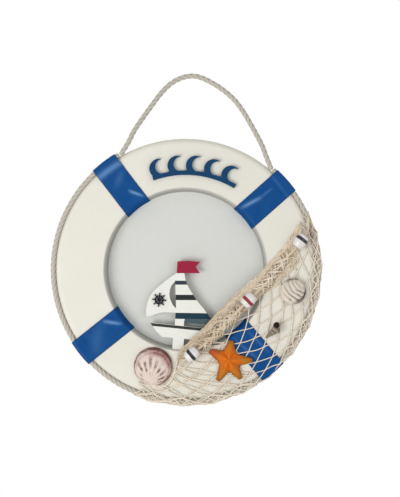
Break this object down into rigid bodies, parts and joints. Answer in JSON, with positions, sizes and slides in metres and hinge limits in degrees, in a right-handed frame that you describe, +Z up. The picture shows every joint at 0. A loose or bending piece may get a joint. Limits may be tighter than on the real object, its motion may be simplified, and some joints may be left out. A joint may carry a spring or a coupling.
{
  "type": "ring lifebuoy wall frame",
  "caption": "Decorative ring lifebuoy with a round window, coloured bands, a rope loop to hang it by, a draped net with floats, shells and a small sailing boat.",
  "frame": {"origin": "the ring's axis on the wall plane, which is the back of the felt ring", "axes": "+Z up the wall, +X to the right seen from the front, +Y into the wall, so the front faces -Y"},
  "size_m": [0.2594, 0.036, 0.319],
  "materials": {
    "ring_paint": "cream-white satin paint on board",
    "felt": "dark grey felt",
    "hardboard": "brown hardboard",
    "grey_card": "light grey card",
    "screw_steel": "zinc-plated steel",
    "button_steel": "brass-plated steel",
    "band_cloth": "glossy blue coated cloth",
    "rope": "pale twisted jute",
    "net_twine": "natural cotton twine",
    "head_cord": "natural cotton cord",
    "float_navy": "white bead with a navy stripe",
    "float_red": "white bead with a red stripe",
    "starfish": "dyed dried starfish",
    "scallop": "natural shell",
    "clam": "natural shell",
    "snail": "natural shell",
    "boat_paint": "white painted board with navy stripes",
    "flag_paint": "dark red paint",
    "wheel_paint": "dark navy paint",
    "wave_paint": "navy paint"
  },
  "bodies": {
    "frame": {"ring_body": "ring_paint", "felt_ring": "felt", "backing_board": "hardboard", "grey_card": "grey_card", "button_screws": "screw_steel", "band_upper_right": "band_cloth", "band_upper_left": "band_cloth", "band_lower_left": "band_cloth", "band_lower_right": "band_cloth", "rim_rope": "rope", "net_front": "net_twine", "net_rim": "net_twine", "net_gather": "net_twine", "head_rope": "head_cord", "starfish": "starfish", "scallop_shell": "scallop", "clam_shell": "clam", "snail_shell": "snail", "boat_board": "boat_paint", "boat_flag": "flag_paint", "ship_wheel": "wheel_paint", "wave_ornament": "wave_paint"},
    "loop": {"hanging_loop": "rope"},
    "button_right": {"turn_button_right": "button_steel"},
    "button_top": {"turn_button_top": "button_steel"},
    "button_left": {"turn_button_left": "button_steel"},
    "button_bottom": {"turn_button_bottom": "button_steel"},
    "bead_upper": {"float_upper": "float_navy"},
    "bead_middle": {"float_middle": "float_red"},
    "bead_lower": {"float_lower": "float_navy"}
  },
  "joints": [
    {"name": "loop_swing", "type": "hinge", "parent": "frame", "child": "loop", "pos_m": [0, -0.01879, 0.10436], "axis": [1, 0, 0], "range_deg": [-35, 90]},
    {"name": "button_right_turn", "type": "hinge", "parent": "frame", "child": "button_right", "pos_m": [0.0915, -0.0031, 0], "axis": [0, 1, 0], "range_deg": [-90, 90]},
    {"name": "button_top_turn", "type": "hinge", "parent": "frame", "child": "button_top", "pos_m": [0, -0.0031, 0.0915], "axis": [0, 1, 0], "range_deg": [-90, 90]},
    {"name": "button_left_turn", "type": "hinge", "parent": "frame", "child": "button_left", "pos_m": [-0.0915, -0.0031, 0], "axis": [0, 1, 0], "range_deg": [-90, 90]},
    {"name": "button_bottom_turn", "type": "hinge", "parent": "frame", "child": "button_bottom", "pos_m": [0, -0.0031, -0.0915], "axis": [0, 1, 0], "range_deg": [-90, 90]},
    {"name": "float_upper_spin", "type": "hinge", "parent": "frame", "child": "bead_upper", "pos_m": [0.1055, -0.0297, 0.037], "axis": [-0.522, 0, -0.853], "continuous": true},
    {"name": "float_middle_spin", "type": "hinge", "parent": "frame", "child": "bead_middle", "pos_m": [0.062, -0.0297, -0.023], "axis": [-0.6383, 0, -0.7698], "continuous": true},
    {"name": "float_lower_spin", "type": "hinge", "parent": "frame", "child": "bead_lower", "pos_m": [0.0135, -0.0297, -0.079], "axis": [-0.7071, 0, -0.7071], "continuous": true}
  ]
}
